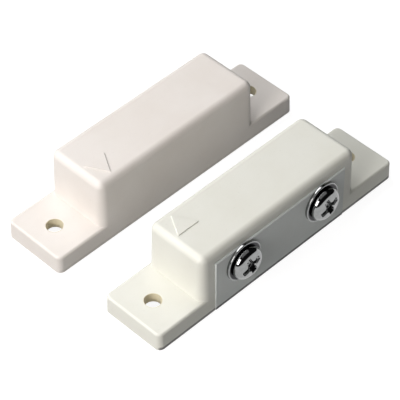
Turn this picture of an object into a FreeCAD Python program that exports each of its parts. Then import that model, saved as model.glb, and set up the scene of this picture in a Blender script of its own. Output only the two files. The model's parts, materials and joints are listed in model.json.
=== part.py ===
import FreeCAD, Part
import os
import Sketcher

# Surface-mount door contact: a reed switch half with two screw terminals, and a magnet half.
#
# Frame: X runs along both halves, +Y points from the switch half to the magnet half and +Z
# points away from the mounting surface. The origin is the centre of the switch half's base.
# All lengths are in millimetres and all angles in degrees.

Vector = FreeCAD.Vector

# Every size that can be chosen by itself. Fits and places are worked out from these.
SIZES = (
    # Moulded shell, the same for both halves
    ("half_length", 64.0, "end to end over the mounting tabs"),
    ("half_depth", 14.7, "outer side to mating side, at the base"),
    ("block_length", 42.0, "raised block between the tabs, at the base"),
    ("block_height", 15.0, "base to top"),
    ("tab_height", 4.0, "thickness of the mounting tabs"),
    ("draft_angle", 1.5, "mould draft of every outer side"),
    ("block_corner_radius", 1.9, "upright corners of the block"),
    ("top_edge_radius", 1.4, "rounding round the block's top"),
    ("tab_corner_radius", 1.2, "upright corners of the tabs"),
    ("tab_edge_radius", 0.5, "rounding round the tabs' top"),
    ("side_wall", 1.6, "wall between the cavity and the outer sides"),
    ("roof_wall", 1.6, "wall above the cavity"),
    ("cavity_corner_radius", 0.6, "upright corners of the cavity"),
    ("mount_hole", 3.4, "diameter of the tab holes"),
    ("mount_hole_inset", 5.5, "hole centre to the tab's end"),
    ("hole_relief", 7.6, "diameter of the hollow under each tab hole"),
    ("hole_relief_depth", 1.8, "hollow under each tab hole, up from the base"),
    ("rest_gap", 12.2, "space between the two halves as stored"),
    # Raised alignment arrow
    ("arrow_width", 5.4, "arrow's base, along the half"),
    ("arrow_length", 4.7, "arrow's base to its point"),
    ("arrow_rise", 0.2, "height above the top"),
    ("arrow_slope", 25.0, "lean of the arrow's sides"),
    ("arrow_end_inset", 1.9, "block's end to the arrow's near corner"),
    ("arrow_side_inset", 1.9, "mating side to the arrow's point"),
    # Back covers
    ("cover_thickness", 1.4, "plate that closes the cavity"),
    ("cover_recess", 0.1, "plate set in from the base"),
    ("cover_ledge", 0.7, "ledge that the plate lands on"),
    ("cover_gap", 0.1, "clearance round the plate"),
    ("cover_corner_radius", 1.0, "corners of the plate's seat"),
    # Terminal panel
    ("panel_width", 35.0, "visible face, along the half"),
    ("panel_height", 12.5, "visible face, up from the base"),
    ("panel_proud", 0.1, "panel in front of the shell, at the base"),
    ("panel_gap", 0.06, "clearance in the shell's window"),
    ("panel_edge_radius", 0.2, "rounding of the visible edges"),
    ("panel_floor", 2.0, "plastic between washer and solder tag"),
    ("flange_lap", 0.8, "flange overlap behind the shell's wall"),
    ("flange_thickness", 1.45, "flange behind the shell's wall"),
    # Terminals
    ("terminal_spacing", 21.2, "between the two screws"),
    ("terminal_height", 8.7, "screws above the base"),
    ("screw_diameter", 3.5, "over the thread"),
    ("screw_length", 7.0, "under the head to the tip"),
    ("screw_clearance", 0.15, "round the screw in plain holes"),
    ("thread_clearance", 0.04, "round the screw in its nut"),
    ("screw_tip_chamfer", 0.4, "lead-in at the screw's tip"),
    ("head_diameter", 7.0, "pan head"),
    ("head_height", 1.9, "pan head"),
    ("head_edge_radius", 0.6, "rounding round the head's face"),
    ("recess_span", 4.3, "cross recess, tip to tip"),
    ("recess_wing", 1.0, "width of one wing"),
    ("recess_core", 2.0, "round middle of the cross recess"),
    ("recess_depth", 1.2, "below the head's face"),
    ("recess_slope", 10.0, "lean of the recess walls"),
    ("recess_turn", 25.0, "how far the cross is turned from level"),
    ("washer_diameter", 8.6, "clamp washer"),
    ("washer_thickness", 0.7, "clamp washer"),
    ("washer_edge_radius", 0.15, "rounding of the washer's rim"),
    ("nut_width", 6.0, "square nut, across flats"),
    ("nut_thickness", 2.2, "square nut"),
    ("nut_clearance", 0.1, "round the nut in its pocket"),
    ("nut_chamfer", 0.3, "corners of the nut's rear face"),
    # Solder tags
    ("tag_thickness", 0.4, "brass strip"),
    ("tag_land", 0.6, "strip each side of the screw's hole"),
    ("tag_bend_radius", 0.5, "inside the bend"),
    ("tag_reach", 4.9, "screw axis to the bent leg"),
    ("tag_tail", 1.6, "strip beyond the reed's lead"),
    ("tag_slot_clearance", 0.1, "each side of the strip in the panel"),
    ("lead_clearance", 0.15, "round the lead in the tag's hole"),
    # Reed switch
    ("reed_setback", 4.6, "reed axis behind the mating side"),
    ("glass_length", 18.0, "glass tube"),
    ("glass_diameter", 2.6, "glass tube"),
    ("glass_wall", 0.4, "glass tube"),
    ("glass_edge_radius", 0.5, "rounded ends of the tube"),
    ("seal_length", 1.7, "solid glass at each end"),
    ("lead_diameter", 0.6, "nickel-iron lead"),
    ("lead_overhang", 1.1, "lead beyond its tag"),
    ("blade_width", 1.2, "flattened blade"),
    ("blade_thickness", 0.25, "flattened blade"),
    ("blade_gap", 0.2, "open gap between the blades"),
    ("blade_overlap", 1.6, "blades over each other"),
    ("blade_neck", 2.0, "length over which a blade widens"),
    ("blade_root_gap", 0.05, "blade's root to the seal"),
    ("solder_diameter", 2.0, "solder joint on the tag"),
    ("solder_height", 0.8, "solder joint off the tag"),
    ("solder_shoulder_diameter", 1.6, "solder joint where its side turns inwards"),
    ("solder_shoulder_height", 0.2, "solder joint where its side turns inwards"),
    # Soft rings on the glass, and the posts under them
    ("cushion_diameter", 4.4, "silicone ring"),
    ("cushion_length", 3.2, "silicone ring"),
    ("cushion_spacing", 13.6, "between the two rings"),
    ("post_thickness", 2.0, "cover posts, along the half"),
    ("switch_post_width", 5.6, "cover posts, across the half"),
    ("post_drop", 0.6, "post tops below the reed axis"),
    # Magnet and what holds it
    ("magnet_length", 32.0, "bar magnet"),
    ("magnet_depth", 7.0, "bar magnet"),
    ("magnet_height", 7.0, "bar magnet"),
    ("magnet_chamfer", 0.4, "edges of the bar magnet"),
    ("magnet_clearance", 0.1, "round the magnet"),
    ("foam_thickness", 1.2, "pad between magnet and roof"),
    ("foam_length", 28.0, "pad, along the magnet"),
    ("foam_width", 5.6, "pad, across the magnet"),
    ("rib_thickness", 1.5, "locating ribs in the magnet shell"),
    ("rib_spacing", 18.0, "between the two side ribs"),
    ("rib_start", 3.0, "lower end of the ribs above the base"),
    ("magnet_post_width", 5.0, "cover posts, across the half"),
)

doc = FreeCAD.newDocument("door_contact")
sheet = doc.addObject("Spreadsheet::Sheet", "sizes")
for row, (alias, number, meaning) in enumerate(SIZES, start=1):
    sheet.set(f"A{row}", alias)
    sheet.set(f"B{row}", str(number))
    sheet.set(f"C{row}", meaning)
    sheet.setAlias(f"B{row}", alias)
doc.recompute()

# Places that several pieces share, as expressions on the sheet
OUTER_FACE = "(-sizes.half_depth / 2)"
MATING_FACE = "(sizes.half_depth / 2)"
CAVITY_X = "(sizes.block_length / 2 - sizes.side_wall)"
CAVITY_Y = "(sizes.half_depth / 2 - sizes.side_wall)"
CAVITY_TOP = "(sizes.block_height - sizes.roof_wall)"
SEAT_TOP = "(sizes.cover_thickness + sizes.cover_recess)"
PANEL_FACE = f"({OUTER_FACE} - sizes.panel_proud)"
PANEL_BACK = f"(-{CAVITY_Y} + sizes.flange_thickness)"
POCKET_FLOOR = f"({PANEL_FACE} + sizes.panel_floor)"
NUT_FRONT = f"({POCKET_FLOOR} + sizes.tag_thickness)"
TERMINAL_X = "(sizes.terminal_spacing / 2)"
TERMINAL_Z = "(sizes.terminal_height)"
REED_Y = "(sizes.half_depth / 2 - sizes.reed_setback)"
SEAL_INNER = "(sizes.glass_length / 2 - sizes.seal_length)"
SCREW_HOLE = "(sizes.screw_diameter + 2 * sizes.screw_clearance)"
TAG_WIDTH = f"({SCREW_HOLE} + 2 * sizes.tag_land)"
TAG_INNER = f"({TERMINAL_X} + sizes.tag_reach)"
TAG_OUTER = f"({TAG_INNER} + sizes.tag_thickness)"
MAGNET_HALF_Y = "(sizes.half_depth + sizes.rest_gap)"
MAGNET_FRONT = f"(-{CAVITY_Y} + sizes.magnet_clearance)"
MAGNET_TOP = f"({CAVITY_TOP} - sizes.foam_thickness)"
MAGNET_BOTTOM = f"({MAGNET_TOP} - sizes.magnet_height)"
MAGNET_MIDDLE = f"({MAGNET_FRONT} + sizes.magnet_depth / 2)"

SIDES = (("left", -1), ("right", 1))
TOUCH = 1e-3
parts = []


def number(expression):
    """Value of an expression on the sheet."""
    return float(sheet.evalExpression(expression))


def new_body(label, x="0", y="0", z="0"):
    """Start a named piece and place it by expressions."""
    body = doc.addObject("PartDesign::Body", label)
    body.Label = label
    for axis, place in (("x", x), ("y", y), ("z", z)):
        body.setExpression(f"Placement.Base.{axis}", place)
    parts.append(body)
    return body


def new_sketch(body, name, plane, offset="0"):
    """Start a sketch on one of the body's own planes, moved along the plane's normal."""
    sketch = body.newObject("Sketcher::SketchObject", name)
    planes = [item for item in body.Origin.OriginFeatures if item.Role == plane]
    sketch.AttachmentSupport = (planes[0], [""])
    sketch.MapMode = "FlatFace"
    sketch.setExpression("AttachmentOffset.Base.z", offset)
    return sketch


def bind(sketch, kind, references, expression):
    """Add one driving dimension and bind it to the sheet."""
    index = sketch.addConstraint(Sketcher.Constraint(kind, *references, number(expression)))
    name = f"dimension_{index}"
    sketch.renameConstraint(index, name)
    sketch.setExpression(f"Constraints.{name}", expression)


def pin(sketch, point, x=None, y=None):
    """Hold a point at a distance from the sketch's origin, whichever side it lies on."""
    for kind, axis, place in (("DistanceX", -2, x), ("DistanceY", -1, y)):
        if place is None:
            continue
        where = number(place)
        if abs(where) < TOUCH:
            sketch.addConstraint(Sketcher.Constraint("PointOnObject", *point, axis))
        elif where > 0:
            bind(sketch, kind, (-1, 1, *point), place)
        else:
            bind(sketch, kind, (*point, -1, 1), f"-({place})")


def polygon(sketch, corners):
    """Closed outline of straight sides through corners given as pairs of expressions."""
    points = [Vector(number(x), number(y), 0) for x, y in corners]
    count = len(points)
    sides = [
        sketch.addGeometry(Part.LineSegment(points[i], points[(i + 1) % count]), False)
        for i in range(count)
    ]
    for i in range(count):
        following = sides[(i + 1) % count]
        sketch.addConstraint(Sketcher.Constraint("Coincident", sides[i], 2, following, 1))
        pin(sketch, (sides[i], 1), *corners[i])


def rectangle(sketch, left, right, low, high):
    """Upright rectangle between four edges given as expressions."""
    polygon(sketch, ((left, low), (right, low), (right, high), (left, high)))


def rounded_rectangle(sketch, half_width, half_height, radius):
    """Rectangle centred on the sketch's origin, with tangent arcs at its corners."""
    w, d, r = number(half_width), number(half_height), number(radius)
    straights = (
        ((r - w, -d), (w - r, -d)),
        ((w, r - d), (w, d - r)),
        ((w - r, d), (r - w, d)),
        ((-w, d - r), (-w, r - d)),
    )
    centres = ((w - r, r - d), (w - r, d - r), (r - w, d - r), (r - w, r - d))
    quarter = Part.Circle().LastParameter / 4
    outline = []
    for turn in range(4):
        start, end = (Vector(*point, 0) for point in straights[turn])
        circle = Part.Circle(Vector(*centres[turn], 0), Vector(0, 0, 1), r)
        outline.append(sketch.addGeometry(Part.LineSegment(start, end), False))
        arc = Part.ArcOfCircle(circle, (turn - 1) * quarter, turn * quarter)
        outline.append(sketch.addGeometry(arc, False))
    for i in range(8):
        following = outline[(i + 1) % 8]
        sketch.addConstraint(Sketcher.Constraint("Tangent", outline[i], 2, following, 1))
    for kind, sides in (("Horizontal", (0, 4)), ("Vertical", (2, 6))):
        for side in sides:
            sketch.addConstraint(Sketcher.Constraint(kind, outline[side]))
    for arc in (3, 5, 7):
        sketch.addConstraint(Sketcher.Constraint("Equal", outline[1], outline[arc]))
    bind(sketch, "Radius", (outline[1],), radius)
    pin(sketch, (outline[0], 1), y=f"-{half_height}")
    pin(sketch, (outline[4], 1), y=half_height)
    pin(sketch, (outline[6], 1), x=f"-{half_width}")
    pin(sketch, (outline[2], 1), x=half_width)


def circle(sketch, x, y, diameter):
    """Circle placed and sized by expressions."""
    centre = Vector(number(x), number(y), 0)
    ring = Part.Circle(centre, Vector(0, 0, 1), number(diameter) / 2)
    geometry = sketch.addGeometry(ring, False)
    pin(sketch, (geometry, 3), x, y)
    bind(sketch, "Diameter", (geometry,), diameter)


def pad(body, sketch, name, length, taper=None, symmetric=False, backwards=False):
    """Add material along the sketch's normal."""
    feature = body.newObject("PartDesign::Pad", name)
    feature.Profile = sketch
    feature.setExpression("Length", length)
    feature.SideType = "Symmetric" if symmetric else "One side"
    feature.Reversed = backwards
    if taper:
        feature.setExpression("TaperAngle", f"-{taper}")
    doc.recompute()
    return feature


def pocket(body, sketch, name, depth=None, taper=None, along_normal=True):
    """Remove material, through everything when no depth is given."""
    before = body.Shape.Volume
    feature = body.newObject("PartDesign::Pocket", name)
    feature.Profile = sketch
    feature.Reversed = along_normal
    if depth:
        feature.setExpression("Length", depth)
    else:
        feature.Type = "ThroughAll"
    if taper:
        feature.setExpression("TaperAngle", f"-{taper}")
    doc.recompute()
    if feature.Shape.Volume > before - TOUCH:
        raise RuntimeError(f"{body.Label}: {name} removes nothing")
    return feature


def revolve(body, sketch, name, sketch_axis, cut=False):
    """Turn a profile once round one of its sketch's axes, to add or to cut."""
    before = body.Shape.Volume if cut else 0
    feature = body.newObject("PartDesign::Groove" if cut else "PartDesign::Revolution", name)
    feature.Profile = sketch
    feature.ReferenceAxis = (sketch, [sketch_axis])
    feature.Angle = 360
    doc.recompute()
    if cut and feature.Shape.Volume > before - TOUCH:
        raise RuntimeError(f"{body.Label}: {name} removes nothing")
    return feature


def soften(body, kind, name, base, size, wanted):
    """Fillet or chamfer the edges of a feature whose bounding box passes a test."""
    edges = [
        f"Edge{i}" for i, edge in enumerate(base.Shape.Edges, start=1) if wanted(edge.BoundBox)
    ]
    if not edges:
        raise RuntimeError(f"{body.Label}: {name} finds no edges")
    feature = body.newObject(f"PartDesign::{kind}", name)
    feature.Base = (base, edges)
    feature.setExpression("Radius" if kind == "Fillet" else "Size", size)
    doc.recompute()
    return feature


def level(box, height):
    """True for an edge that lies wholly at one height."""
    return abs(box.ZMin - height) < TOUCH and abs(box.ZMax - height) < TOUCH


def shell(label, y, towards_mate):
    """Hollow moulded half: two holed tabs, a drafted block, a cavity and a raised arrow."""
    body = new_body(label, y=y)

    plate = new_sketch(body, f"{label}_tab_outline", "XY_Plane")
    rounded_rectangle(plate, "sizes.half_length / 2", MATING_FACE, "sizes.tab_corner_radius")
    tabs = pad(body, plate, f"{label}_tabs", "sizes.tab_height", taper="sizes.draft_angle")
    height = number("sizes.tab_height")
    soften(body, "Fillet", f"{label}_tab_edges", tabs, "sizes.tab_edge_radius",
           lambda box: level(box, height))

    outline = new_sketch(body, f"{label}_block_outline", "XY_Plane")
    rounded_rectangle(outline, "sizes.block_length / 2", MATING_FACE, "sizes.block_corner_radius")
    block = pad(body, outline, f"{label}_block", "sizes.block_height", taper="sizes.draft_angle")
    top = number("sizes.block_height")
    soften(body, "Fillet", f"{label}_top_edges", block, "sizes.top_edge_radius",
           lambda box: level(box, top))

    inside = new_sketch(body, f"{label}_cavity_outline", "XY_Plane")
    rounded_rectangle(inside, CAVITY_X, CAVITY_Y, "sizes.cavity_corner_radius")
    pocket(body, inside, f"{label}_cavity", CAVITY_TOP)

    seat = new_sketch(body, f"{label}_cover_seat_outline", "XY_Plane")
    rounded_rectangle(seat, f"({CAVITY_X} + sizes.cover_ledge)", f"({CAVITY_Y} + sizes.cover_ledge)",
                      "sizes.cover_corner_radius")
    pocket(body, seat, f"{label}_cover_seat", SEAT_TOP)

    holes = new_sketch(body, f"{label}_hole_centres", "XY_Plane")
    reliefs = new_sketch(body, f"{label}_relief_centres", "XY_Plane")
    for _, side in SIDES:
        across = f"{side} * (sizes.half_length / 2 - sizes.mount_hole_inset)"
        circle(holes, across, "0", "sizes.mount_hole")
        circle(reliefs, across, "0", "sizes.hole_relief")
    pocket(body, holes, f"{label}_mount_holes")
    pocket(body, reliefs, f"{label}_hole_reliefs", "sizes.hole_relief_depth")

    arrow = new_sketch(body, f"{label}_arrow_outline", "XY_Plane", "sizes.block_height")
    near = "(-sizes.block_length / 2 + sizes.arrow_end_inset)"
    tip = f"({towards_mate} * (sizes.half_depth / 2 - sizes.arrow_side_inset))"
    base = f"({tip} - {towards_mate} * sizes.arrow_length)"
    corners = ((near, base), (f"{near} + sizes.arrow_width", base),
               (f"{near} + sizes.arrow_width / 2", tip))
    polygon(arrow, corners if towards_mate > 0 else corners[::-1])
    pad(body, arrow, f"{label}_arrow", "sizes.arrow_rise", taper="sizes.arrow_slope")
    return body


def switch_housing():
    """Shell of the switch half, with the window that the terminal panel fills."""
    body = shell("switch_housing", "0", 1)
    window = new_sketch(body, "switch_window_outline", "XZ_Plane")
    half = "(sizes.panel_width / 2 + sizes.panel_gap)"
    rectangle(window, f"-{half}", half, "0", "sizes.panel_height + sizes.panel_gap")
    pocket(body, window, "switch_window")


def magnet_housing():
    """Shell of the magnet half, with ribs that hold the magnet against the mating wall."""
    body = shell("magnet_housing", MAGNET_HALF_Y, -1)
    ribs = new_sketch(body, "magnet_rib_outlines", "XY_Plane", "sizes.rib_start")
    magnet_rear = f"({MAGNET_FRONT} + sizes.magnet_depth + sizes.magnet_clearance)"
    magnet_end = "(sizes.magnet_length / 2 + sizes.magnet_clearance)"
    half = "sizes.rib_thickness / 2"
    wall = "sizes.side_wall / 2"
    for _, side in SIDES:
        centre = f"{side} * sizes.rib_spacing / 2"
        rectangle(ribs, f"{centre} - {half}", f"{centre} + {half}", magnet_rear,
                  f"{CAVITY_Y} + {wall}")
        ends = [f"{side} * {magnet_end}", f"{side} * ({CAVITY_X} + {wall})"][::side]
        rectangle(ribs, *ends, f"{MAGNET_MIDDLE} - {half}", f"{MAGNET_MIDDLE} + {half}")
    pad(body, ribs, "magnet_ribs", f"{CAVITY_TOP} - sizes.rib_start + sizes.roof_wall / 2")


def cover_plate(label, y):
    """Plate that closes the back of one half."""
    body = new_body(label, y=y)
    plate = new_sketch(body, f"{label}_outline", "XY_Plane", "sizes.cover_recess")
    margin = "sizes.cover_ledge - sizes.cover_gap"
    rounded_rectangle(plate, f"({CAVITY_X} + {margin})", f"({CAVITY_Y} + {margin})",
                      "sizes.cover_corner_radius - sizes.cover_gap")
    pad(body, plate, f"{label}_plate", "sizes.cover_thickness")
    return body


def posts(body, middle, width, top):
    """Two upright posts on a cover plate."""
    feet = new_sketch(body, f"{body.Label}_post_outlines", "XY_Plane", "sizes.cover_recess")
    for _, side in SIDES:
        centre = f"{side} * sizes.cushion_spacing / 2"
        half = "sizes.post_thickness / 2"
        rectangle(feet, f"{centre} - {half}", f"{centre} + {half}",
                  f"{middle} - {width} / 2", f"{middle} + {width} / 2")
    pad(body, feet, f"{body.Label}_posts", f"{top} - sizes.cover_recess")


def switch_back_cover():
    """Cover of the switch half; its notched posts carry the rings on the reed's glass."""
    body = cover_plate("switch_back_cover", "0")
    posts(body, REED_Y, "sizes.switch_post_width", f"({TERMINAL_Z} - sizes.post_drop)")
    notch = new_sketch(body, "switch_post_notch_outline", "YZ_Plane")
    circle(notch, REED_Y, TERMINAL_Z, "sizes.cushion_diameter")
    feature = pocket(body, notch, "switch_post_notches")
    feature.SideType = "Symmetric"
    doc.recompute()


def magnet_back_cover():
    """Cover of the magnet half; its posts press the magnet up against the foam pad."""
    body = cover_plate("magnet_back_cover", MAGNET_HALF_Y)
    posts(body, MAGNET_MIDDLE, "sizes.magnet_post_width", MAGNET_BOTTOM)


def terminal_panel():
    """Insulating panel in the window: carries the screws in front and the nuts behind."""
    body = new_body("terminal_panel")
    profile = new_sketch(body, "panel_profile", "YZ_Plane")
    lip_back = f"(-{CAVITY_Y} - sizes.cover_ledge - sizes.panel_gap)"
    lip_top = f"({SEAT_TOP} + sizes.panel_gap)"
    polygon(profile, ((PANEL_FACE, "0"), (lip_back, "0"), (lip_back, lip_top),
                      (f"-{CAVITY_Y}", lip_top), (f"-{CAVITY_Y}", "sizes.panel_height"),
                      (PANEL_FACE, "sizes.panel_height")))
    plug = pad(body, profile, "panel_plug", "sizes.panel_width", symmetric=True)
    face = number(PANEL_FACE)
    side = number("sizes.panel_width / 2")
    top = number("sizes.panel_height")

    def visible_edge(box):
        in_face = abs(box.YMin - face) < TOUCH and abs(box.YMax - face) < TOUCH
        at_side = box.XMin > side - TOUCH or box.XMax < TOUCH - side
        return in_face and (box.ZMin > top - TOUCH or at_side)

    soften(body, "Fillet", "panel_edges", plug, "sizes.panel_edge_radius", visible_edge)

    flange = new_sketch(body, "panel_flange_outline", "XZ_Plane", CAVITY_Y)
    reach = "(sizes.panel_width / 2 + sizes.flange_lap)"
    rectangle(flange, f"-{reach}", reach, lip_top, "sizes.panel_height + sizes.flange_lap")
    pad(body, flange, "panel_flange", "sizes.flange_thickness", backwards=True)

    pockets = new_sketch(body, "panel_nut_pocket_outlines", "XZ_Plane", f"-{POCKET_FLOOR}")
    tracks = new_sketch(body, "panel_tag_slot_outlines", "XZ_Plane", f"-{POCKET_FLOOR}")
    holes = new_sketch(body, "panel_screw_hole_centres", "XZ_Plane", f"-{POCKET_FLOOR}")
    room = "(sizes.nut_width / 2 + sizes.nut_clearance)"
    slot = f"({TAG_WIDTH} / 2 + sizes.tag_slot_clearance)"
    for _, side in SIDES:
        centre = f"{side} * {TERMINAL_X}"
        rectangle(pockets, f"{centre} - {room}", f"{centre} + {room}",
                  f"{TERMINAL_Z} - {room}", f"{TERMINAL_Z} + {room}")
        ends = [centre, f"{side} * (sizes.panel_width / 2 + 2 * sizes.flange_lap)"][::side]
        rectangle(tracks, *ends, f"{TERMINAL_Z} - {slot}", f"{TERMINAL_Z} + {slot}")
        circle(holes, centre, TERMINAL_Z, SCREW_HOLE)
    depth = f"{PANEL_BACK} - {POCKET_FLOOR}"
    pocket(body, pockets, "panel_nut_pockets", depth, along_normal=False)
    pocket(body, tracks, "panel_tag_slots", depth, along_normal=False)
    pocket(body, holes, "panel_screw_holes")


def terminal_nut(name, side):
    """Square brass nut, held from turning by its pocket in the panel."""
    body = new_body(f"terminal_nut_{name}", f"{side} * {TERMINAL_X}", NUT_FRONT, TERMINAL_Z)
    outline = new_sketch(body, f"nut_{name}_outline", "XZ_Plane")
    half = "sizes.nut_width / 2"
    rectangle(outline, f"-{half}", half, f"-{half}", half)
    block = pad(body, outline, f"nut_{name}_block", "sizes.nut_thickness", backwards=True)
    rear = number("sizes.nut_thickness")
    soften(body, "Chamfer", f"nut_{name}_edges", block, "sizes.nut_chamfer",
           lambda box: box.YMin > rear - TOUCH)
    bore = new_sketch(body, f"nut_{name}_bore_centre", "XZ_Plane")
    circle(bore, "0", "0", "sizes.screw_diameter + 2 * sizes.thread_clearance")
    pocket(body, bore, f"nut_{name}_bore", along_normal=False)


def clamp_washer(name, side):
    """Flat washer that traps a wire against the panel."""
    body = new_body(f"clamp_washer_{name}", f"{side} * {TERMINAL_X}", PANEL_FACE, TERMINAL_Z)
    outline = new_sketch(body, f"washer_{name}_outline", "XZ_Plane")
    circle(outline, "0", "0", "sizes.washer_diameter")
    disc = pad(body, outline, f"washer_{name}_disc", "sizes.washer_thickness")
    soften(body, "Fillet", f"washer_{name}_rim", disc, "sizes.washer_edge_radius",
           lambda box: box.YLength < TOUCH)
    bore = new_sketch(body, f"washer_{name}_bore_centre", "XZ_Plane")
    circle(bore, "0", "0", SCREW_HOLE)
    pocket(body, bore, f"washer_{name}_bore")


def terminal_screw(name, side):
    """Pan-head cross-recess screw; its head bears on the clamp washer."""
    body = new_body(f"terminal_screw_{name}", f"{side} * {TERMINAL_X}",
                    f"{PANEL_FACE} - sizes.washer_thickness", TERMINAL_Z)
    body.Placement = FreeCAD.Placement(Vector(), FreeCAD.Rotation(Vector(0, -1, 0), 1))
    body.setExpression("Placement.Rotation.Angle", "sizes.recess_turn")

    profile = new_sketch(body, f"screw_{name}_profile", "XY_Plane")
    shank = "sizes.screw_diameter / 2"
    head = "sizes.head_diameter / 2"
    polygon(profile, (("0", "-sizes.head_height"), (head, "-sizes.head_height"), (head, "0"),
                      (shank, "0"), (shank, "sizes.screw_length - sizes.screw_tip_chamfer"),
                      (f"{shank} - sizes.screw_tip_chamfer", "sizes.screw_length"),
                      ("0", "sizes.screw_length")))
    turned = revolve(body, profile, f"screw_{name}_blank", "V_Axis")
    face = -number("sizes.head_height")
    soften(body, "Fillet", f"screw_{name}_head_edge", turned, "sizes.head_edge_radius",
           lambda box: abs(box.YMax - face) < TOUCH and box.XLength > 1)

    wings = (("level", "sizes.recess_span", "sizes.recess_wing"),
             ("upright", "sizes.recess_wing", "sizes.recess_span"))
    for wing, width, tall in wings:
        outline = new_sketch(body, f"screw_{name}_{wing}_wing", "XZ_Plane", "sizes.head_height")
        rectangle(outline, f"-{width} / 2", f"{width} / 2", f"-{tall} / 2", f"{tall} / 2")
        pocket(body, outline, f"screw_{name}_{wing}_recess", "sizes.recess_depth",
               taper="sizes.recess_slope", along_normal=False)
    core = new_sketch(body, f"screw_{name}_core_profile", "XY_Plane")
    mouth = "sizes.recess_core / 2"
    polygon(core, (("0", "-sizes.head_height"), (mouth, "-sizes.head_height"),
                   (f"{mouth} / 2", "-sizes.head_height + sizes.recess_depth"),
                   ("0", "-sizes.head_height + sizes.recess_depth + sizes.recess_core / 8")))
    revolve(body, core, f"screw_{name}_core_recess", "V_Axis", cut=True)


def solder_tag(name, side):
    """Bent brass strip: clamped under the nut, it reaches back to the reed's lead."""
    body = new_body(f"solder_tag_{name}")
    profile = new_sketch(body, f"tag_{name}_profile", "XY_Plane", TERMINAL_Z)
    start = f"{side} * ({TERMINAL_X} - sizes.nut_width / 2)"
    corner = f"{side} * {TAG_OUTER}"
    inner = f"{side} * {TAG_INNER}"
    end = f"({REED_Y} + sizes.tag_tail)"
    front = f"({POCKET_FLOOR} + sizes.tag_thickness)"
    outline = ((start, POCKET_FLOOR), (corner, POCKET_FLOOR), (corner, end), (inner, end),
               (inner, front), (start, front))
    polygon(profile, outline[::side])
    strip = pad(body, profile, f"tag_{name}_strip", TAG_WIDTH, symmetric=True)

    def bend(x, y):
        return lambda box: (box.ZLength > 1 and abs(box.XMin - number(x)) < TOUCH
                            and abs(box.YMin - number(y)) < TOUCH)

    inside = soften(body, "Fillet", f"tag_{name}_inner_bend", strip, "sizes.tag_bend_radius",
                    bend(inner, front))
    soften(body, "Fillet", f"tag_{name}_outer_bend", inside,
           "sizes.tag_bend_radius + sizes.tag_thickness", bend(corner, POCKET_FLOOR))
    screw_hole = new_sketch(body, f"tag_{name}_screw_hole_centre", "XZ_Plane")
    circle(screw_hole, f"{side} * {TERMINAL_X}", TERMINAL_Z,
           SCREW_HOLE)
    pocket(body, screw_hole, f"tag_{name}_screw_hole")
    lead_hole = new_sketch(body, f"tag_{name}_lead_hole_centre", "YZ_Plane")
    circle(lead_hole, REED_Y, TERMINAL_Z, "sizes.lead_diameter + 2 * sizes.lead_clearance")
    pocket(body, lead_hole, f"tag_{name}_lead_hole", along_normal=side > 0)


def reed_glass():
    """Sealed glass tube round the blades; the leads pass through its solid ends."""
    body = new_body("reed_glass", "0", REED_Y, TERMINAL_Z)
    outline = new_sketch(body, "glass_profile", "XY_Plane")
    half, radius = "sizes.glass_length / 2", "sizes.glass_diameter / 2"
    lead, bore = "sizes.lead_diameter / 2", f"({radius} - sizes.glass_wall)"
    polygon(outline, ((f"-{half}", lead), (f"-{SEAL_INNER}", lead), (f"-{SEAL_INNER}", bore),
                      (SEAL_INNER, bore), (SEAL_INNER, lead), (half, lead), (half, radius),
                      (f"-{half}", radius)))
    tube = revolve(body, outline, "glass_tube", "H_Axis")
    outer = number("sizes.glass_diameter")
    soften(body, "Fillet", "glass_ends", tube, "sizes.glass_edge_radius",
           lambda box: box.XLength < TOUCH and box.YLength > outer - TOUCH)


def reed_lead(name, side):
    """Fixed round end of one reed: from inside its seal to just past its solder tag."""
    body = new_body(f"reed_lead_{name}", "0", REED_Y, TERMINAL_Z)
    section = new_sketch(body, f"lead_{name}_section", "YZ_Plane", f"{side} * {SEAL_INNER}")
    circle(section, "0", "0", "sizes.lead_diameter")
    pad(body, section, f"lead_{name}_wire", f"{TAG_OUTER} + sizes.lead_overhang - {SEAL_INNER}",
        backwards=side < 0)


def reed_blade(name, side):
    """Flattened inner end of one reed, which bends towards the other one."""
    body = new_body(f"reed_blade_{name}", "0", REED_Y, TERMINAL_Z)
    lift = "sizes.blade_gap / 2" if side < 0 else "(-sizes.blade_gap / 2 - sizes.blade_thickness)"
    outline = new_sketch(body, f"blade_{name}_outline", "XY_Plane", lift)
    root = f"({SEAL_INNER} - sizes.blade_root_gap)"
    neck = "sizes.lead_diameter / 2"
    wide = "sizes.blade_width / 2"
    corners = ((f"{side} * {root}", f"-{neck}"), (f"{side} * {root}", neck),
               (f"{side} * ({root} - sizes.blade_neck)", wide),
               (f"{-side} * sizes.blade_overlap / 2", wide),
               (f"{-side} * sizes.blade_overlap / 2", f"-{wide}"),
               (f"{side} * ({root} - sizes.blade_neck)", f"-{wide}"))
    polygon(outline, corners[::side])
    pad(body, outline, f"blade_{name}_strip", "sizes.blade_thickness")


def solder_joint(name, side):
    """Cone of solder between a lead and its tag, filling the tag's hole."""
    body = new_body(f"solder_joint_{name}", "0", REED_Y, TERMINAL_Z)
    outline = new_sketch(body, f"solder_{name}_profile", "XY_Plane")
    lead = "sizes.lead_diameter / 2"
    hole = f"({lead} + sizes.lead_clearance)"
    corners = ((f"{side} * {TAG_INNER}", lead),
               (f"{side} * ({TAG_OUTER} + sizes.solder_height)", lead),
               (f"{side} * ({TAG_OUTER} + sizes.solder_shoulder_height)",
                "sizes.solder_shoulder_diameter / 2"),
               (f"{side} * {TAG_OUTER}", "sizes.solder_diameter / 2"),
               (f"{side} * {TAG_OUTER}", hole), (f"{side} * {TAG_INNER}", hole))
    polygon(outline, corners[::side])
    revolve(body, outline, f"solder_{name}_cone", "H_Axis")


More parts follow.
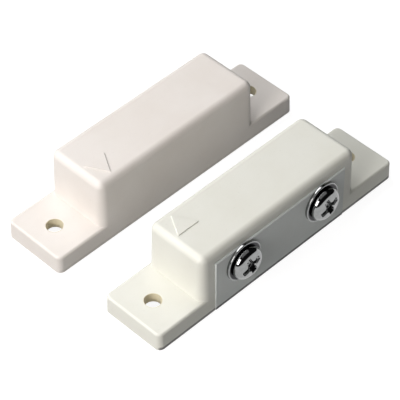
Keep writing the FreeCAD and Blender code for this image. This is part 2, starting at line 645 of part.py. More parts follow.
def glass_cushion(name, side):
    """Silicone ring between the glass and a cover post."""
    body = new_body(f"glass_cushion_{name}", "0", REED_Y, TERMINAL_Z)
    middle = f"{side} * sizes.cushion_spacing / 2"
    section = new_sketch(body, f"cushion_{name}_section", "YZ_Plane", middle)
    circle(section, "0", "0", "sizes.cushion_diameter")
    circle(section, "0", "0", "sizes.glass_diameter")
    pad(body, section, f"cushion_{name}_ring", "sizes.cushion_length", symmetric=True)


def bar_magnet():
    """Ferrite bar, magnetised along its length, held against the mating wall."""
    body = new_body("bar_magnet", y=MAGNET_HALF_Y)
    outline = new_sketch(body, "magnet_outline", "XY_Plane", MAGNET_BOTTOM)
    half = "sizes.magnet_length / 2"
    rectangle(outline, f"-{half}", half, MAGNET_FRONT, f"{MAGNET_FRONT} + sizes.magnet_depth")
    block = pad(body, outline, "magnet_block", "sizes.magnet_height")
    soften(body, "Chamfer", "magnet_edges", block, "sizes.magnet_chamfer", lambda box: True)


def magnet_foam_pad():
    """Foam between the magnet and the roof, so that the magnet can't rattle."""
    body = new_body("magnet_foam_pad", y=MAGNET_HALF_Y)
    outline = new_sketch(body, "foam_outline", "XY_Plane", MAGNET_TOP)
    half, across = "sizes.foam_length / 2", "sizes.foam_width / 2"
    rectangle(outline, f"-{half}", half, f"{MAGNET_MIDDLE} - {across}", f"{MAGNET_MIDDLE} + {across}")
    pad(body, outline, "foam_block", "sizes.foam_thickness")


switch_housing()
terminal_panel()
for name, side in SIDES:
    terminal_nut(name, side)
    solder_tag(name, side)
    clamp_washer(name, side)
    terminal_screw(name, side)
    reed_lead(name, side)
    reed_blade(name, side)
    solder_joint(name, side)
    glass_cushion(name, side)
reed_glass()
switch_back_cover()
magnet_housing()
bar_magnet()
magnet_foam_pad()
magnet_back_cover()
doc.recompute()

for item in doc.Objects:
    if "Invalid" in item.State or "Error" in item.State:
        raise RuntimeError(f"{item.Label} did not compute: {item.State}")
for body in parts:
    if body.Shape.isNull() or not body.Shape.isValid():
        raise RuntimeError(f"{body.Label} has no valid shape")

os.makedirs("parts", exist_ok=True)
for body in parts:
    body.Shape.exportStep(os.path.join("parts", f"{body.Label}.step"))
    box = body.Shape.BoundBox
    print(f"{body.Label:24s} {body.Shape.Volume:9.2f} mm3  {len(body.Shape.Solids)} solid  "
          f"x {box.XMin:7.2f} {box.XMax:7.2f}  y {box.YMin:7.2f} {box.YMax:7.2f}  "
          f"z {box.ZMin:6.2f} {box.ZMax:6.2f}")
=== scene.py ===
# %% [markdown]
# # A surface-mount door contact
#
# The object is two ivory plastic blocks that guard a door. One holds a reed switch and two screw
# terminals, the other holds a bar magnet. The construction comes finished as a fixed frame. This
# script gives every surface its finish, makes the screws and washers again in finer detail, and
# sets up the light and the camera. Lengths in Blender are metres, so one millimetre is 0.001.

import json
import math

import bpy
import numpy as np
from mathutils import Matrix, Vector


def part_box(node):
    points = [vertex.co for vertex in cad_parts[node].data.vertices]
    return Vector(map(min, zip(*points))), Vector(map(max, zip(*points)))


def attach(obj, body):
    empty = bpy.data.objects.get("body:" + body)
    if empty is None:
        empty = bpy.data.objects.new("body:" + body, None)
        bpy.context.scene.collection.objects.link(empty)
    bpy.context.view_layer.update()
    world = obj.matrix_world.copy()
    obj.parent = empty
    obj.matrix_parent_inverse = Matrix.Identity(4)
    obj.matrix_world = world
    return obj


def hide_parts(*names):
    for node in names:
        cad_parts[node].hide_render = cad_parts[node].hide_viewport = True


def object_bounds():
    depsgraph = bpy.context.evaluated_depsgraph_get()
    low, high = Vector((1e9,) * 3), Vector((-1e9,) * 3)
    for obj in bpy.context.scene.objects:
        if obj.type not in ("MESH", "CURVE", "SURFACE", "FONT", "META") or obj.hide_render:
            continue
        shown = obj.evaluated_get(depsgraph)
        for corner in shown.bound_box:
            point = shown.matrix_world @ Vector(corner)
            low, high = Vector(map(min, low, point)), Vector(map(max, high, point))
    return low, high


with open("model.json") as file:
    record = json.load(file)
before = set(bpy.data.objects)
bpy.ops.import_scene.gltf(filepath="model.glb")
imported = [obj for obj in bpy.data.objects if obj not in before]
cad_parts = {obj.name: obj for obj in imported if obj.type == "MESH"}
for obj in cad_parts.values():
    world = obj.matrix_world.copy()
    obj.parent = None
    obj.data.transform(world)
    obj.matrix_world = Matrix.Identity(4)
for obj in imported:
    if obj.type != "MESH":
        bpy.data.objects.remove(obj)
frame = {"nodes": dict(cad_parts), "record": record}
cad_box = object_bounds()
nodes = frame["nodes"]
mounts = {mount["name"]: mount for mount in frame["record"]["mounts"]}
MM = 0.001
SIDES = ("left", "right")

# %% [markdown]
# ## Shader maths as plain Python
#
# A material is a graph of nodes. Wiring each Math node by hand hides the idea behind the wires, so
# a socket is wrapped in a small class: `1 - mask` or `noise * 0.2` then adds the node by itself.
# Only numbers go through it. Colours are mixed by a Mix node, because a Math node turns them grey.


# %% One class for a value that varies over a surface
class Field:
    """The output socket of a node, with the arithmetic that adds Math nodes."""

    def __init__(self, finish, socket):
        self.finish = finish
        self.socket = socket

    def _combine(self, operation, first, second):
        return self.finish.node("ShaderNodeMath", {"operation": operation}, {0: first, 1: second})

    def __add__(self, other):
        return self._combine("ADD", self, other)

    def __radd__(self, other):
        return self._combine("ADD", other, self)

    def __sub__(self, other):
        return self._combine("SUBTRACT", self, other)

    def __rsub__(self, other):
        return self._combine("SUBTRACT", other, self)

    def __mul__(self, other):
        return self._combine("MULTIPLY", self, other)

    def __rmul__(self, other):
        return self._combine("MULTIPLY", other, self)


# %% One class for a material
class Finish:
    """A material under construction: its shader, and one method that adds any node."""

    def __init__(self, name):
        self.material = bpy.data.materials.new(name)
        self.material.use_nodes = True
        self.tree = self.material.node_tree
        self.shader = self.tree.nodes["Principled BSDF"]

    def node(self, kind, settings=None, inputs=None, output=0):
        """Add a node, apply its settings, then fill its sockets with numbers or fields."""
        made = self.tree.nodes.new(kind)
        for key, value in (settings or {}).items():
            setattr(made, key, value)
        for key, value in (inputs or {}).items():
            self.feed(made.inputs[key], value)
        return Field(self, made.outputs[output])

    def feed(self, socket, value):
        """Link a field to a socket, or store a plain value in it."""
        if isinstance(value, Field):
            self.tree.links.new(value.socket, socket)
        else:
            socket.default_value = value

    def set(self, **values):
        """Fill the main shader's sockets by name, with _ for a space."""
        for key, value in values.items():
            self.feed(self.shader.inputs[key.replace("_", " ")], value)

    def place(self):
        """Position on the piece, in metres."""
        return self.node("ShaderNodeTexCoord", output="Object")

    def noise(self, size, detail=2.0, roughness=0.5):
        """Soft random field from 0 to 1, with blotches about size millimetres across."""
        return self.node("ShaderNodeTexNoise", None,
                         {"Vector": self.place(), "Scale": 1 / (size * MM), "Detail": detail,
                          "Roughness": roughness})

    def mix(self, amount, low, high):
        """Colour that goes from low to high as amount goes from 0 to 1.

        A Mix node has a set of sockets for each kind of value: 6, 7 and output 2 carry colours.
        """
        ends = {socket: value if isinstance(value, Field) else (*value, 1.0)
                for socket, value in ((6, low), (7, high))}
        return self.node("ShaderNodeMix", {"data_type": "RGBA"}, {0: amount, **ends}, 2)

    def axis(self, vector, number):
        """One coordinate of a vector: 0 for X, 1 for Y, 2 for Z."""
        return self.node("ShaderNodeSeparateXYZ", None, {0: vector}, number)

    def centred(self, point):
        """Position measured from a point, in metres."""
        return self.node("ShaderNodeMapping", None,
                         {"Vector": self.place(), "Location": tuple(-part for part in point)})

    def radius(self, vector, keep):
        """Length of a vector after each coordinate is multiplied by keep: 0 drops it."""
        flat = self.node("ShaderNodeVectorMath", {"operation": "MULTIPLY"}, {0: vector, 1: keep})
        return self.node("ShaderNodeVectorMath", {"operation": "LENGTH"}, {0: flat}, 1)

    def step(self, value, start, end):
        """0 below start, 1 above end, and a smooth climb between."""
        return self.node("ShaderNodeMapRange", {"interpolation_type": "SMOOTHSTEP"},
                         {"Value": value, "From Min": start, "From Max": end})

    def bump(self, height, depth, strength):
        """Tilt the surface as if height (0 to 1) stood up to depth millimetres."""
        return self.node("ShaderNodeBump", None,
                         {"Height": height, "Distance": depth * MM, "Strength": strength})


# %% [markdown]
# ## Moulded plastic
#
# The shells are injection-moulded ABS, warm ivory with a satin skin. Up close such a skin is not
# flat: the steel mould leaves a fine grain, the melt leaves very faint flow clouds, and handling
# leaves a slightly uneven gloss. Each of these is a noise of its own size. The clouds change the
# colour and the handling changes the roughness, while the grain tilts the surface and roughens it.
#
# Two painted marks of light and shade are masks instead of noises. The walls of the screw holes
# carry painted warm bounce light: that mask is the distance from the hole's axis. A painted
# contact
# shadow lies along the foot of the front: that mask is a low height above the base, on faces that
# look forwards.


# %% Where the painted bounce light and contact shadow are
hole_pattern = mounts["switch_mount_holes"]["dims"]
HOLE_X = hole_pattern["spacing_x_mm"] / 2 * MM
HOLE_RADIUS = hole_pattern["hole_r_mm"] * MM
HOLE_Y = {half: mounts[f"{half}_mount_holes"]["pos_m"][1] for half in ("switch", "magnet")}
# Painted warm bounce light on the walls of the screw holes: its tone and the soft edge of its
# mask.
HOLE_BOUNCE_TONE = (0.62, 0.56, 0.40)
HOLE_BOUNCE_EDGE = (0.02 * MM, 0.12 * MM)
# Painted contact shadow along the foot of the front: its tone, its height and how ragged its top
# is.
CONTACT_SHADOW_TONE = (0.05, 0.048, 0.052)
CONTACT_SHADOW_LINE = (0.3 * MM, 0.75 * MM)
CONTACT_SHADOW_RAGGED = 0.2 * MM
print("holes at x =", HOLE_X, "and y =", HOLE_Y)


# %% Ivory ABS in several batches
def foot_contact_shadow(finish, ragged):
    """Mask of the painted contact shadow: 1 low down on faces that look forwards, along -Y, else
    0.
    """
    height = finish.axis(finish.place(), 2)
    low = 1 - finish.step(height - ragged * CONTACT_SHADOW_RAGGED, *CONTACT_SHADOW_LINE)
    facing = finish.node("ShaderNodeNewGeometry", output="Normal")
    turned_away = finish.step(finish.axis(facing, 1), start=-0.8, end=-0.4)
    return low * (1 - turned_away)


def moulded_abs(name, light, deep, grain=0.12, gloss=0.46, foot_shadow=0.0, hole_y=None):
    """Satin ABS between two close colours.

    grain is the size of the skin's grain in millimetres, and gloss is the middle roughness.
    The foot argument, 0 to 1, sets the painted contact shadow along the foot of the front. Where
    hole_y says that there are mounting holes, their walls carry painted warm bounce light.
    """
    finish = Finish(name)
    clouds = finish.noise(size=9.0, detail=3.0, roughness=0.55)
    flecks = finish.step(finish.noise(size=0.55), start=0.66, end=0.74)
    handled = finish.noise(size=5.0, detail=4.0, roughness=0.6)
    skin = finish.noise(size=grain)
    tone = finish.mix(finish.step(clouds, start=0.3, end=0.7), light, deep)
    fleck_tone = tuple(0.9 * part for part in deep)
    tone = finish.mix(flecks * 0.35, tone, fleck_tone)
    # Painted contact shadow: a dark line along the foot of the front.
    if foot_shadow > 0:
        tone = finish.mix(foot_contact_shadow(finish, handled) * foot_shadow, tone, CONTACT_SHADOW_TONE)
    # Painted warm bounce light inside the mounting holes.
    if hole_y is not None:
        for hole_x in (-HOLE_X, HOLE_X):
            radius = finish.radius(finish.centred((hole_x, hole_y, 0.0)), keep=(1.0, 1.0, 0.0))
            inside = 1 - finish.step(radius - HOLE_RADIUS, *HOLE_BOUNCE_EDGE)
            tone = finish.mix(inside, tone, HOLE_BOUNCE_TONE)
    finish.set(Base_Color=tone,
               Roughness=handled * 0.14 + (gloss - 0.07) + skin * 0.05,
               Normal=finish.bump(skin, depth=0.004, strength=0.5),
               IOR=1.52)
    return finish.material


switch_ivory = moulded_abs("ivory_abs_switch", (0.70, 0.70, 0.645), (0.675, 0.672, 0.61),
                           foot_shadow=0.85, hole_y=HOLE_Y["switch"])
magnet_ivory = moulded_abs("ivory_abs_magnet", (0.735, 0.695, 0.66), (0.71, 0.665, 0.625),
                           foot_shadow=0.15, hole_y=HOLE_Y["magnet"])
panel_ivory = moulded_abs("panel_abs", (0.62, 0.65, 0.64), (0.60, 0.625, 0.615), gloss=0.58,
                          foot_shadow=0.95)
cover_ivory = moulded_abs("cover_abs", (0.66, 0.64, 0.58), (0.62, 0.60, 0.54), grain=0.3,
                          gloss=0.5)
print("plastics:", switch_ivory.name, magnet_ivory.name, panel_ivory.name, cover_ivory.name)

# %% [markdown]
# ## Metals
#
# The screws and washers are bright nickel on steel. Nickel is a metal, so its colour is the colour
# of its reflection, and what the eye reads as detail is change in roughness: fine turning rings
# round the axis, and a few rubbed spots. The rings are a wave that runs outwards from the screw's
# own axis, so the position on each screw is centred by a Mapping node. Under the head, the washer
# is painted nearly black, as painted shade of the crevice and a painted dark reflection, and only
# its rim is left bright.


# %% Plated and plain metals
NICKEL_TONE = (0.30, 0.305, 0.305)
RUBBED_TONE = tuple(0.86 * part for part in NICKEL_TONE)
# Painted shade under the screw head, on the washer: its tone, radius, edge and raggedness.
CREVICE_SHADE_TONE = (0.012, 0.011, 0.014)
CREVICE_SHADE_RADIUS = 4.1 * MM
CREVICE_SHADE_EDGE = (-0.05 * MM, 0.25 * MM)
CREVICE_SHADE_RAGGED = 0.3 * MM
RINGS_SCALE = 900.0


def nickel_plate(name, axis_point, crevice_shaded=False):
    """Nickel with faint lathe rings round a line parallel to Y through axis_point.

    With the third argument set, the face is painted black out to a radius: painted shade of the
    crevice under the head, and a painted dark reflection.
    """
    finish = Finish(name)
    centred = finish.centred(axis_point)
    rings = finish.node("ShaderNodeTexWave",
                        {"wave_type": "RINGS", "rings_direction": "Y", "wave_profile": "SIN"},
                        {"Vector": centred, "Scale": RINGS_SCALE, "Distortion": 0.4,
                         "Detail": 1.0}, 1)
    rubbed = finish.noise(size=0.8, detail=4.0, roughness=0.65)
    tone = finish.mix(finish.step(rubbed, start=0.35, end=0.75), NICKEL_TONE, RUBBED_TONE)
    # Painted shade and dark reflection in the crevice under the head.
    if crevice_shaded:
        past = finish.radius(centred, keep=(1.0, 0.0, 1.0)) + rubbed * CREVICE_SHADE_RAGGED - CREVICE_SHADE_RADIUS
        tone = finish.mix(1 - finish.step(past, *CREVICE_SHADE_EDGE), tone, CREVICE_SHADE_TONE)
    finish.set(Base_Color=tone,
               Metallic=1.0,
               Roughness=rubbed * 0.1 + rings * 0.03 + 0.03,
               Normal=finish.bump(rings, depth=0.002, strength=0.25))
    return finish.material


def plain_metal(name, bright, dull, rough, blotch=0.7):
    """Unplated metal, with patches of tarnish about blotch millimetres across."""
    finish = Finish(name)
    tarnish = finish.step(finish.noise(blotch, detail=5.0, roughness=0.6), start=0.4, end=0.75)
    scratch = finish.noise(size=0.08)
    finish.set(Base_Color=finish.mix(tarnish, bright, dull),
               Metallic=1.0,
               Roughness=tarnish * 0.22 + rough + scratch * 0.06,
               Normal=finish.bump(scratch, depth=0.002, strength=0.4))
    return finish.material


terminal_axis = {side: sum(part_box(f"clamp_washer_{side}"), Vector()) / 2 for side in SIDES}
screw_nickel = {side: nickel_plate(f"nickel_{side}", terminal_axis[side]) for side in SIDES}
washer_nickel = {side: nickel_plate(f"washer_nickel_{side}", terminal_axis[side], crevice_shaded=True)
                 for side in SIDES}
brass = plain_metal("brass", (0.80, 0.60, 0.28), (0.52, 0.36, 0.16), rough=0.22)
nickel_iron = plain_metal("nickel_iron", (0.60, 0.58, 0.54), (0.46, 0.44, 0.40), rough=0.28)
solder = plain_metal("solder", (0.66, 0.67, 0.69), (0.42, 0.42, 0.43), rough=0.2, blotch=0.4)
print("metals:", *(metal.name for metal in (*screw_nickel.values(), *washer_nickel.values(),
                                            brass, nickel_iron, solder)))

# %% [markdown]
# ## What is sealed inside
#
# The glass of a reed switch is thin and slightly green. The magnet is sintered ferrite, a dark
# ceramic with a granular skin. Silicone rings and a foam pad keep both from rattling.


# %% Glass, ferrite, silicone and foam
def reed_glass_finish():
    """Thin soda glass with a faint green cast."""
    finish = Finish("reed_glass")
    haze = finish.noise(size=1.5, detail=3.0)
    finish.set(Base_Color=finish.mix(haze, (0.80, 0.93, 0.84), (0.72, 0.88, 0.78)),
               Roughness=haze * 0.06 + 0.02, IOR=1.5, Transmission_Weight=1.0)
    return finish.material


def ferrite_finish():
    """Sintered ceramic magnet: near black, granular, with pale dust in its pits."""
    finish = Finish("ferrite")
    grit = finish.noise(size=0.25, detail=6.0, roughness=0.7)
    dust = finish.step(grit, start=0.62, end=0.8)
    finish.set(Base_Color=finish.mix(dust, (0.045, 0.045, 0.05), (0.14, 0.13, 0.12)),
               Roughness=dust * 0.2 + 0.55, Metallic=0.2,
               Normal=finish.bump(grit, depth=0.03, strength=0.6))
    return finish.material


def soft_finish(name, light, deep, cell, rough):
    """Rubber or foam, with cells of a given size in millimetres."""
    finish = Finish(name)
    cells = finish.node("ShaderNodeTexVoronoi", None,
                        {"Vector": finish.place(), "Scale": 1 / (cell * MM)})
    finish.set(Base_Color=finish.mix(cells, light, deep),
               Roughness=rough - cells * 0.1,
               Normal=finish.bump(cells, depth=cell / 4, strength=0.6))
    return finish.material


glass = reed_glass_finish()
ferrite = ferrite_finish()
silicone = soft_finish("silicone", (0.80, 0.80, 0.77), (0.70, 0.70, 0.67), cell=0.6, rough=0.5)
foam = soft_finish("foam", (0.10, 0.10, 0.11), (0.05, 0.05, 0.055), cell=0.35, rough=0.95)
print("inner finishes:", glass.name, ferrite.name, silicone.name, foam.name)

# %% [markdown]
# ## Terminal screws with a real thread and cross recess
#
# A screw is what a lathe and a rolling die make of it: round everywhere, apart from the cross
# punched into its head and the thread that winds round its shank. So the whole screw is one grid
# of points. One parameter walks down the profile, from the middle of the head, over its rounded
# edge, under it and along the shank to the tip. The other goes once round the axis. The cross is a
# depth that is added to the head's face, and the thread is a radius that depends on both
# parameters. Booleans could cut the same shapes, but they leave ragged normals on curved metal.


# %% From a grid of points to a mesh
def ramp(value, start, end):
    """Smooth climb from 0 at start to 1 at end: 3t^2 - 2t^3, with t cut off at 0 and 1."""
    t = np.clip((value - start) / (end - start), 0.0, 1.0)
    return t * t * (3 - 2 * t)


def grid_faces(rows, columns, wrap_rows=False):
    """Corner numbers of the quads of a grid that closes round its columns."""
    row, column = np.meshgrid(np.arange(rows if wrap_rows else rows - 1), np.arange(columns),
                              indexing="ij")
    below, beside = (row + 1) % rows, (column + 1) % columns
    corners = (row * columns + column, row * columns + beside,
               below * columns + beside, below * columns + column)
    return np.stack(corners, -1).reshape(-1, 4)


def solid_mesh(name, points, faces, body, replaced):
    """A smooth-shaded piece that rides on a body and stands for a node."""
    mesh = bpy.data.meshes.new(name)
    mesh.from_pydata(points.reshape(-1, 3).tolist(), [], [tuple(face) for face in faces])
    mesh.shade_smooth()
    mesh.update()
    piece = bpy.data.objects.new(name, mesh)
    bpy.context.scene.collection.objects.link(piece)
    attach(piece, body)
    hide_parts(replaced)
    return piece


# %% The screw's proportions, in millimetres
FACE_RADIUS = 2.2
FACE_DOME = 0.2
HEAD_ROUNDING = 1.25
UNDERCUT = 0.4
UNDERCUT_HEIGHT = 0.3
EASE = 0.05
RECESS_TURN = math.radians(65.0)
WING_REACH = 2.35
WING_SLOPE = 0.3 * WING_REACH
WING_HALF_WIDTH = 0.68
WING_DEPTH = 1.1
CORE_RADIUS = 1.25
CORE_DEPTH = 1.35
WALL_SLANT = 0.16
SHANK_RADIUS = 1.75
THREAD_PITCH = 0.6
THREAD_DEPTH = 0.35
FLANK_GAIN, ROOT_FLAT = 1.5, 0.25
TIP_RUNOUT = 0.7
TIP_RADIUS = SHANK_RADIUS - 1.6 * THREAD_DEPTH
POLE = 0.002

# %% How finely a screw is divided
AROUND = 180
FACE_ROWS, EDGE_ROWS, THREAD_ROWS = 84, 14, 150
EDGE_START = 0.08
print("points in a screw, about", AROUND * (FACE_ROWS + EDGE_ROWS + THREAD_ROWS))


# %% Depth of the cross recess
def recess_depth(along, across):
    """Deepest of three cuts: a wing along each arm of the cross, and a cone in the middle.

    A wing's floor slopes down from WING_REACH over a length WING_SLOPE and is level from there to
    the axis, and its walls lean by WALL_SLANT. The cone falls evenly from CORE_RADIUS to the axis.
    """

    def wing(length, side):
        floor = np.clip((WING_REACH - np.abs(length)) / WING_SLOPE, 0.0, 1.0)
        return WING_DEPTH * floor * ramp(WING_HALF_WIDTH - np.abs(side), 0.0, WALL_SLANT)

    core = CORE_DEPTH * np.clip(1 - np.hypot(along, across) / CORE_RADIUS, 0.0, 1.0)
    return np.maximum(np.maximum(wing(along, across), wing(across, along)), core)


# %% Head and shank, as rows of points round the axis
def head_rows(angle, head_radius, head_height):
    """Radius and depth of the head's points.

    On the domed face, depth grows with the square of the radius, plus the recess. A quarter
    ellipse leads over the edge, and straight lines lead down the side and in under the head.
    """
    face = np.linspace(POLE, FACE_RADIUS, FACE_ROWS)[:, None]
    dome = FACE_DOME * (face / FACE_RADIUS) ** 2
    along, across = face * np.cos(angle - RECESS_TURN), face * np.sin(angle - RECESS_TURN)

    over = np.linspace(EDGE_START, 1.0, EDGE_ROWS)[:, None] * math.pi / 2
    edge = FACE_RADIUS + (head_radius - FACE_RADIUS) * np.sin(over)
    edge_depth = FACE_DOME + HEAD_ROUNDING * (1 - np.cos(over))

    waist, foot = head_height - UNDERCUT_HEIGHT, head_radius - UNDERCUT
    lower = np.array([[head_radius, waist - 0.8 * EASE], [head_radius - EASE, waist + 0.4 * EASE],
                      [foot, head_height - 0.4 * EASE], [foot - EASE, head_height],
                      [SHANK_RADIUS, head_height]])
    full = np.ones_like(angle)
    return (np.vstack([face * full, edge * full, lower[:, :1] * full]),
            np.vstack([dome + recess_depth(along, across), edge_depth * full,
                       lower[:, 1:] * full]))


def shank_rows(angle, head_height, length):
    """Radius and depth of the points from under the head to the tip.

    The radius is the root plus a triangle wave of (depth / pitch - turns), cut flat at crest and
    root: a thread that advances one pitch in each turn. It fades out at both ends.
    """
    down = np.linspace(head_height + EASE, length - 0.4 * EASE, THREAD_ROWS)[:, None]
    phase = (down / THREAD_PITCH - angle / (2 * math.pi)) % 1.0
    crest = np.clip(FLANK_GAIN * (1 - np.abs(2 * phase - 1)) - ROOT_FLAT, 0.0, 1.0)
    fade = (ramp(down, head_height, head_height + THREAD_PITCH)
            * ramp(length - down, 0.0, TIP_RUNOUT))
    tip = np.array([[TIP_RADIUS, length], [POLE, length]])
    full = np.ones_like(angle)
    return (np.vstack([SHANK_RADIUS - THREAD_DEPTH * (1 - crest * fade), tip[:, :1] * full]),
            np.vstack([down * full, tip[:, 1:] * full]))


# %% Two terminal screws
def full_turn():
    """Angles of one turn about the screw's axis, from +Z towards +X, as a row."""
    return np.linspace(0.0, 2 * math.pi, AROUND, endpoint=False)[None, :]


def about_axis(axis, radius, along_y, angle):
    """Points at a radius and an angle about a line parallel to Y."""
    return np.stack([axis[0] + radius * np.sin(angle), along_y + 0 * angle,
                     axis[2] + radius * np.cos(angle)], -1)


def terminal_screw(side):
    """Screw that fills its node's box, with its axis along +Y, into the panel."""
    low, high = (np.array(corner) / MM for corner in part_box(f"terminal_screw_{side}"))
    head_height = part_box(f"clamp_washer_{side}")[0].y / MM - low[1]
    angle = full_turn()
    head = head_rows(angle, (high[0] - low[0]) / 2, head_height)
    shank = shank_rows(angle, head_height, high[1] - low[1])
    radius, depth = (np.vstack(pair) for pair in zip(head, shank))
    points = about_axis((low + high) / 2, radius, low[1] + depth, angle)
    faces = grid_faces(len(radius), AROUND).tolist()
    faces.append(list(range(AROUND))[::-1])
    faces.append([(len(radius) - 1) * AROUND + step for step in range(AROUND)])
    return solid_mesh(f"screw_{side}", points * MM, faces, f"{side}_screw",
                      f"terminal_screw_{side}")


screws = {side: terminal_screw(side) for side in SIDES}
for screw in screws.values():
    print(screw.name, len(screw.data.polygons), "faces")


# %% [markdown]
# ## Clamp washers
#
# A washer is punched from sheet and tumbled, so its edges are slightly rolled. A bevel would do on
# one ring, but a section carried round the axis gives the roll and the ring in one formula.


# %% Two washers
WASHER_BORE_RADIUS = 1.9
SECTION_ORDER = 7.0
SECTION_STEPS = 72


def clamp_washer(side):
    """Flat ring with rolled edges: a superellipse carried round the screw's axis.

    The section is |r|^order + |y|^order = 1, which is a rectangle with softened corners.
    """
    low, high = (np.array(corner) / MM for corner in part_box(f"clamp_washer_{side}"))
    axis, outer = (low + high) / 2, (high[0] - low[0]) / 2
    turn = np.linspace(0.0, 2 * math.pi, SECTION_STEPS, endpoint=False)[:, None]
    powers = np.abs(np.cos(turn)) ** SECTION_ORDER + np.abs(np.sin(turn)) ** SECTION_ORDER
    reach = powers ** (-1 / SECTION_ORDER)
    middle, half_width = (outer + WASHER_BORE_RADIUS) / 2, (outer - WASHER_BORE_RADIUS) / 2
    points = about_axis(axis, middle + half_width * reach * np.cos(turn),
                        axis[1] + (high[1] - low[1]) / 2 * reach * np.sin(turn), full_turn())
    faces = grid_faces(SECTION_STEPS, AROUND, wrap_rows=True)
    return solid_mesh(f"washer_{side}", points * MM, faces, f"{side}_clamp",
                      f"clamp_washer_{side}")


washers = {side: clamp_washer(side) for side in SIDES}
for washer in washers.values():
    print(washer.name, len(washer.data.polygons), "faces")

# %% [markdown]
# ## Finishes on pieces
#
# Each construction piece takes one finish. The screws and washers carry the same plating, made
# once for each screw and once for each washer.

# %% Put each finish on its pieces
FINISH_OF = {
    "switch_housing": switch_ivory, "magnet_housing": magnet_ivory, "terminal_panel": panel_ivory,
    "switch_back_cover": cover_ivory, "magnet_back_cover": cover_ivory, "reed_glass": glass,
    "bar_magnet": ferrite, "magnet_foam_pad": foam,
}
for side in SIDES:
    FINISH_OF[f"terminal_nut_{side}"] = brass
    FINISH_OF[f"solder_tag_{side}"] = brass
    FINISH_OF[f"reed_lead_{side}"] = nickel_iron
    FINISH_OF[f"reed_blade_{side}"] = nickel_iron
    FINISH_OF[f"solder_joint_{side}"] = solder
    FINISH_OF[f"glass_cushion_{side}"] = silicone
for name, material in FINISH_OF.items():
    nodes[name].data.materials.clear()
    nodes[name].data.materials.append(material)
for side in SIDES:
    screws[side].data.materials.append(screw_nickel[side])
    washers[side].data.materials.append(washer_nickel[side])
print("finished", len(FINISH_OF) + 2 * len(SIDES), "of", len(nodes), "pieces")

# %% [markdown]
# ## Stage, light and camera
#
# The floor and the wall round it are plain and nearly white. They mostly give light of their own,
# so that shadows stay faint. The metal mirrors that light, but only the lamps light the plastic
# itself. The floor has one side only, so that it hides nothing from below, and it lies a hair
# under the object, because two faces in one plane would flicker.
#
# A soft key light stands to the left and a little behind, and leaves the long front sides in
# shade. A lamp in front keeps that shade open. It is left out of reflections, because the screws
# would mirror it as a white patch. A lamp under the floor shows the underside.


# %% Floor and backdrop
def stage_surface(name, corners, faces, glow, pale, one_sided=False):
    """A surface of the stage that glows, and that reflects a share pale of the lamps' light.

    A one-sided surface can't be seen from behind.
    """
    mesh = bpy.data.meshes.new(name)
    mesh.from_pydata(corners, [], faces)
    surface = bpy.data.objects.new(name, mesh)
    bpy.context.scene.collection.objects.link(surface)
    finish = Finish(name)
    finish.set(Base_Color=(pale, pale, pale, 1.0), Roughness=1.0, Specular_IOR_Level=0.0,
               Emission_Color=(1.0, 1.0, 1.0, 1.0), Emission_Strength=glow)
    if one_sided:
        finish.set(Alpha=1 - finish.node("ShaderNodeNewGeometry", output="Backfacing"))
    mesh.materials.append(finish.material)
    surface.visible_diffuse = False
    return surface


STAGE_HALF = 1.5
STAGE_GLOW = 0.9
FLOOR_PALE = 0.22
FLOOR_GAP = 0.02 * MM
WALL_HEIGHT = 4.0
WALL_STEPS = 48
ROOM_TONE = (0.01, 0.01, 0.01, 1.0)

floor_corners = [(x * STAGE_HALF, y * STAGE_HALF, -FLOOR_GAP)
                 for x, y in ((-1, -1), (1, -1), (1, 1), (-1, 1))]
floor = stage_surface("floor", floor_corners, [(0, 1, 2, 3)], STAGE_GLOW, FLOOR_PALE,
                      one_sided=True)
floor.visible_shadow = False

around = np.linspace(0.0, 2 * math.pi, WALL_STEPS, endpoint=False)
ring = np.stack([np.cos(around), np.sin(around), 0 * around], -1) * STAGE_HALF
wall_corners = np.vstack([ring + (0, 0, -WALL_HEIGHT), ring + (0, 0, WALL_HEIGHT)])
wall = stage_surface("backdrop", wall_corners.tolist(), grid_faces(2, WALL_STEPS).tolist(),
                     STAGE_GLOW, pale=0.0)
wall.visible_glossy = False
wall.visible_shadow = False
wall.visible_transmission = False

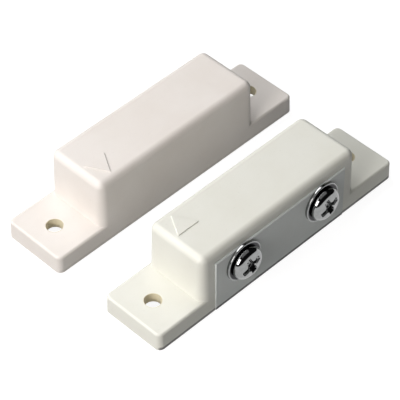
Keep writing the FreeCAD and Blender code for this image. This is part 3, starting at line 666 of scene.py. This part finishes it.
world = bpy.data.worlds.new("studio")
world.use_nodes = True
world.node_tree.nodes["Background"].inputs["Color"].default_value = ROOM_TONE
bpy.context.scene.world = world
print("stage is", 2 * STAGE_HALF, "m wide")


# %% Lamps
def lamp(name, towards, distance, size, power, colour=(1.0, 1.0, 1.0)):
    """Square area light, placed in a direction from the object's middle and aimed at it."""
    data = bpy.data.lights.new(name, "AREA")
    data.size = size
    data.energy = power
    data.color = colour
    light = bpy.data.objects.new(name, data)
    bpy.context.scene.collection.objects.link(light)
    middle = (cad_box[0] + cad_box[1]) / 2
    direction = Vector(towards).normalized()
    light.location = middle + direction * distance
    light.visible_camera = False
    light.rotation_euler = direction.to_track_quat("Z", "Y").to_euler()
    return light


lamp("key_light", (-0.9, -0.1, 0.5), distance=0.45, size=0.25, power=1.72,
     colour=(1.0, 0.965, 0.94))
lamp("rim_light", (-0.6, 0.5, 0.62), distance=0.5, size=0.3, power=0.65)
lamp("back_light", (0.0, 0.7, 0.7), distance=0.8, size=0.6, power=4.8)
lamp("top_light", (0.0, 0.1, 1.0), distance=0.8, size=0.9, power=0.85)
front_light = lamp("front_light", (-0.5, -0.85, 0.25), distance=0.8, size=0.6, power=1.3,
                   colour=(1.0, 0.99, 0.96))
low_light = lamp("low_light", (0.0, 0.0, -1.0), distance=0.6, size=0.2, power=1.2)
for light in (front_light, low_light):
    light.visible_glossy = False
print("lamps:", len(bpy.data.lights))

# %% Camera, with its focal length in millimetres and its place in metres
FOCAL = 185.8
STANDPOINT = Vector((-0.1983, -0.1836, 0.2898))
LOOKS_ALONG = Vector((0.4928, 0.4915, -0.7180))
camera_data = bpy.data.cameras.new("camera")
camera_data.lens = FOCAL
camera = bpy.data.objects.new("camera", camera_data)
bpy.context.scene.collection.objects.link(camera)
camera.location = STANDPOINT
camera.rotation_euler = LOOKS_ALONG.to_track_quat("-Z", "Y").to_euler()
bpy.context.scene.camera = camera
bpy.context.scene.view_settings.view_transform = "Standard"
print("camera is", round(STANDPOINT.length, 3), "m from the origin")
